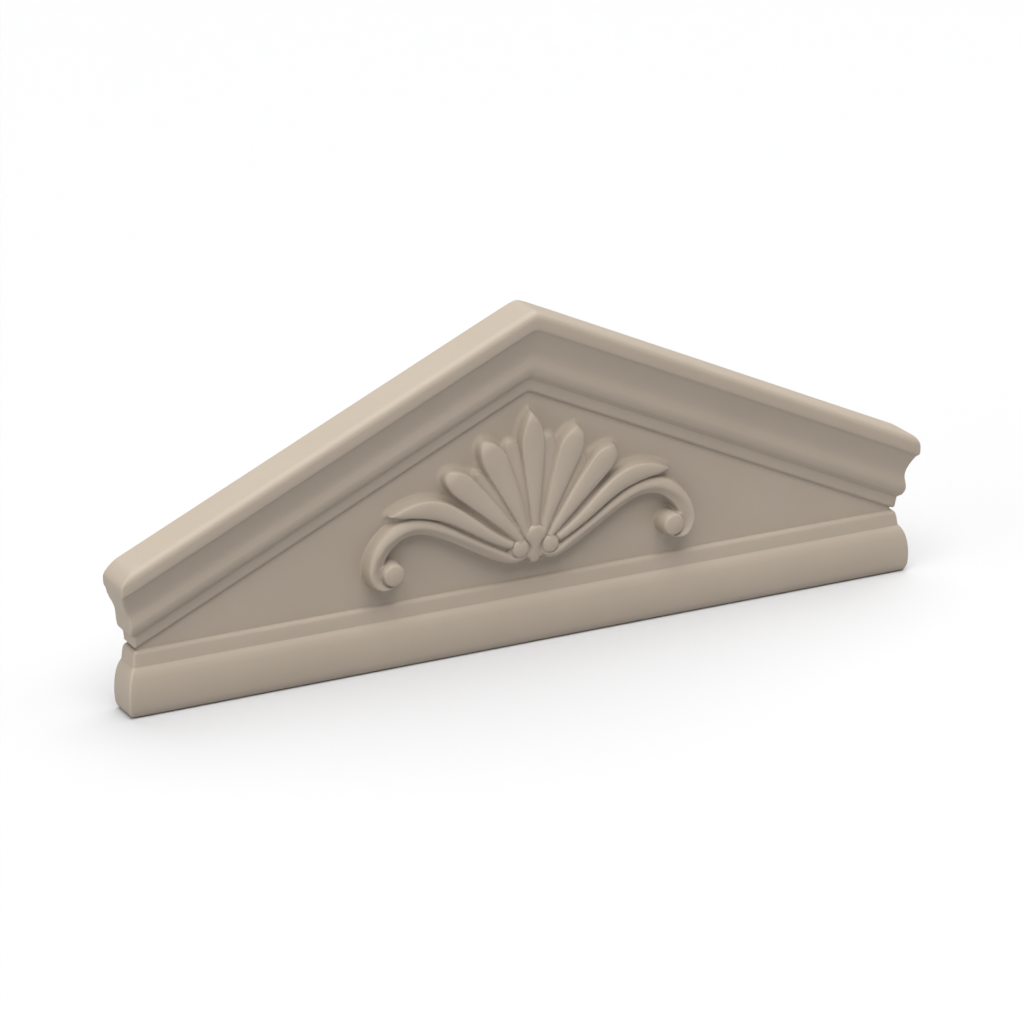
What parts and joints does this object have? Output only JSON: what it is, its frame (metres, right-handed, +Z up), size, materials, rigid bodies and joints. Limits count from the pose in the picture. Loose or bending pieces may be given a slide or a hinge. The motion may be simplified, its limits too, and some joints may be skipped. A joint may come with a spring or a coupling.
{
  "type": "pediment section",
  "caption": "Low gabled pediment plaque with a torus base, a raking crown moulding and a palmette over scrolls, cast in one piece with a flat back to fix over a door, mirror or cabinet.",
  "frame": {"origin": "centre of the length and of the depth, at the underside", "axes": "+X along the length, +Y out of the flat back, so the carved front faces -Y, +Z up to the apex of the gable"},
  "size_m": [0.6, 0.031, 0.2351],
  "materials": {
    "pediment": "matte cast greige body, unpainted"
  },
  "bodies": {
    "root": {"pediment": "pediment"}
  },
  "joints": []
}
